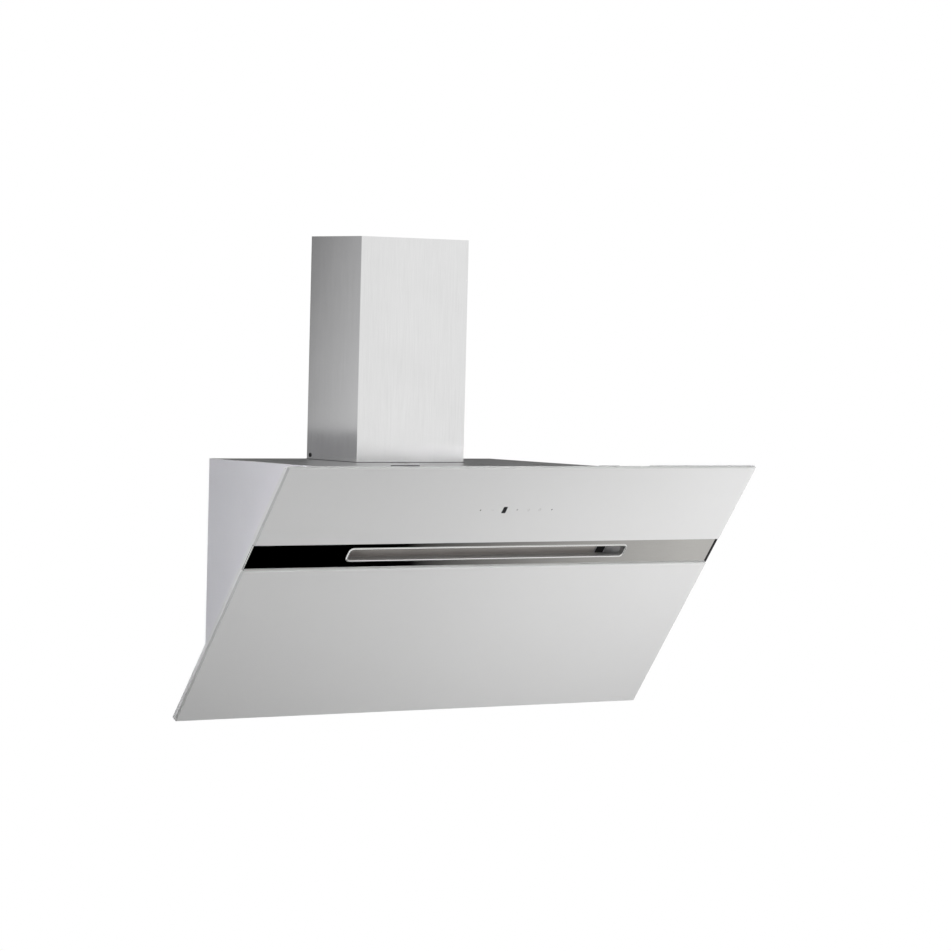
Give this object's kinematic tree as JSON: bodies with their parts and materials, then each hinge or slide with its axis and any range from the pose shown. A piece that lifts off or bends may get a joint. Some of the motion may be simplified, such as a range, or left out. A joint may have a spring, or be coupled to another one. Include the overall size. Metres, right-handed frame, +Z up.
{
  "type": "angled range hood",
  "caption": "Angled wall-chimney range hood: flat glass panel on top hinges with a suction slot band, sheet-steel body with blower, filters and lamps, telescopic chimney.",
  "frame": {"origin": "on the wall plane, at the centre of the four wall bolt holes in the rear sheet", "axes": "+X to the right seen from the room, -Y towards the room, +Z up"},
  "size_m": [0.9, 0.4873, 0.7557],
  "materials": {
    "painted_steel": "satin light grey paint on the body sheets",
    "deck_steel": "brushed stainless steel, dark at a low angle",
    "zinc_steel": "zinc plated sheet",
    "filter_metal": "satin aluminium baffles",
    "latch_plastic": "matt black",
    "tray_paint": "satin light grey paint",
    "bond_tape": "black foam tape",
    "panel_glass": "flat glass, light grey coat on its back, ground edges",
    "mirror_band": "polished steel, mirror like",
    "polished_rim": "bright polished",
    "channel_steel": "dark satin sheet",
    "deflector_steel": "brushed",
    "board": "green laminate",
    "display_black": "gloss black",
    "fasteners": "bright zinc",
    "black_screws": "black",
    "black_plastic": "matt black",
    "soft_rubber": "matt black",
    "brushed_steel": "fine upright brushing",
    "flap_plastic": "natural white",
    "scroll_plastic": "natural white",
    "wheel_metal": "rolled sheet",
    "motor_metal": "dark grey paint",
    "box_plastic": "white",
    "lamp_metal": "satin",
    "lens_glass": "frosted"
  },
  "bodies": {
    "housing": {"side_right": "painted_steel", "side_left": "painted_steel", "deck": "deck_steel", "back_plate": "zinc_steel", "bolt_plates": "zinc_steel", "bottom_plate": "painted_steel", "front_frame": "painted_steel", "filter_left": "filter_metal", "filter_right": "filter_metal", "hinge_bracket_right": "zinc_steel", "hinge_bracket_left": "zinc_steel", "hinge_bracket_screws": "fasteners", "catches": "black_plastic", "bumpers": "soft_rubber", "cable_duct": "black_plastic", "lower_chimney": "brushed_steel", "chimney_brackets": "zinc_steel", "chimney_screws": "black_screws", "spigot": "black_plastic", "flap_pin": "fasteners", "cable_grommet": "soft_rubber", "scroll_wrap": "scroll_plastic", "outlet_adapter": "scroll_plastic", "scroll_side_right": "scroll_plastic", "scroll_side_left": "scroll_plastic", "motor": "motor_metal", "motor_spider": "zinc_steel", "blower_brackets": "zinc_steel", "control_box": "box_plastic", "control_box_lid": "box_plastic", "lamp_can_right": "lamp_metal", "lamp_can_left": "lamp_metal", "lamp_lens_right": "lens_glass", "lamp_lens_left": "lens_glass"},
    "front_panel": {"tray": "tray_paint", "tray_back": "tray_paint", "glass_tapes": "bond_tape", "upper_glass": "panel_glass", "lower_glass": "panel_glass", "band": "mirror_band", "slot_rim": "polished_rim", "channel_plate": "channel_steel", "channel_ends": "channel_steel", "deflector": "deflector_steel", "touch_board": "board", "display": "display_black", "hinge_leaf_right": "zinc_steel", "hinge_leaf_left": "zinc_steel", "hinge_pin_right": "fasteners", "hinge_pin_left": "fasteners", "hinge_leaf_screws": "fasteners", "strike_plates": "zinc_steel", "strike_plate_screws": "fasteners"},
    "chimney_slide": {"upper_chimney": "brushed_steel"},
    "blower_wheel": {"impeller": "wheel_metal", "motor_shaft": "fasteners"},
    "front_flap": {"flap_front": "flap_plastic"},
    "rear_flap": {"flap_rear": "flap_plastic"},
    "left_latch": {"latch_left": "latch_plastic"},
    "right_latch": {"latch_right": "latch_plastic"}
  },
  "joints": [
    {"name": "panel_hinge", "type": "hinge", "parent": "housing", "child": "front_panel", "pos_m": [0, -0.45543, 0.14835], "axis": [-1, 0, 0], "range_deg": [0, 80]},
    {"name": "chimney_rise", "type": "slide", "parent": "housing", "child": "chimney_slide", "axis": [0, 0, 1], "range_m": [0, 0.25]},
    {"name": "wheel_spin", "type": "hinge", "parent": "housing", "child": "blower_wheel", "pos_m": [0, -0.165, 0], "axis": [1, 0, 0], "continuous": true},
    {"name": "front_flap_hinge", "type": "hinge", "parent": "housing", "child": "front_flap", "pos_m": [0, -0.09155, 0.168], "axis": [-1, 0, 0], "range_deg": [0, 75]},
    {"name": "rear_flap_hinge", "type": "hinge", "parent": "housing", "child": "rear_flap", "pos_m": [0, -0.09155, 0.168], "axis": [1, 0, 0], "range_deg": [0, 75]},
    {"name": "left_latch_slide", "type": "slide", "parent": "housing", "child": "left_latch", "axis": [0, 0.5962, -0.8028], "range_m": [0, 0.005], "stiffness_N_per_m": 400, "springref_m": -0.004},
    {"name": "right_latch_slide", "type": "slide", "parent": "housing", "child": "right_latch", "axis": [0, 0.5962, -0.8028], "range_m": [0, 0.005], "stiffness_N_per_m": 400, "springref_m": -0.004}
  ]
}
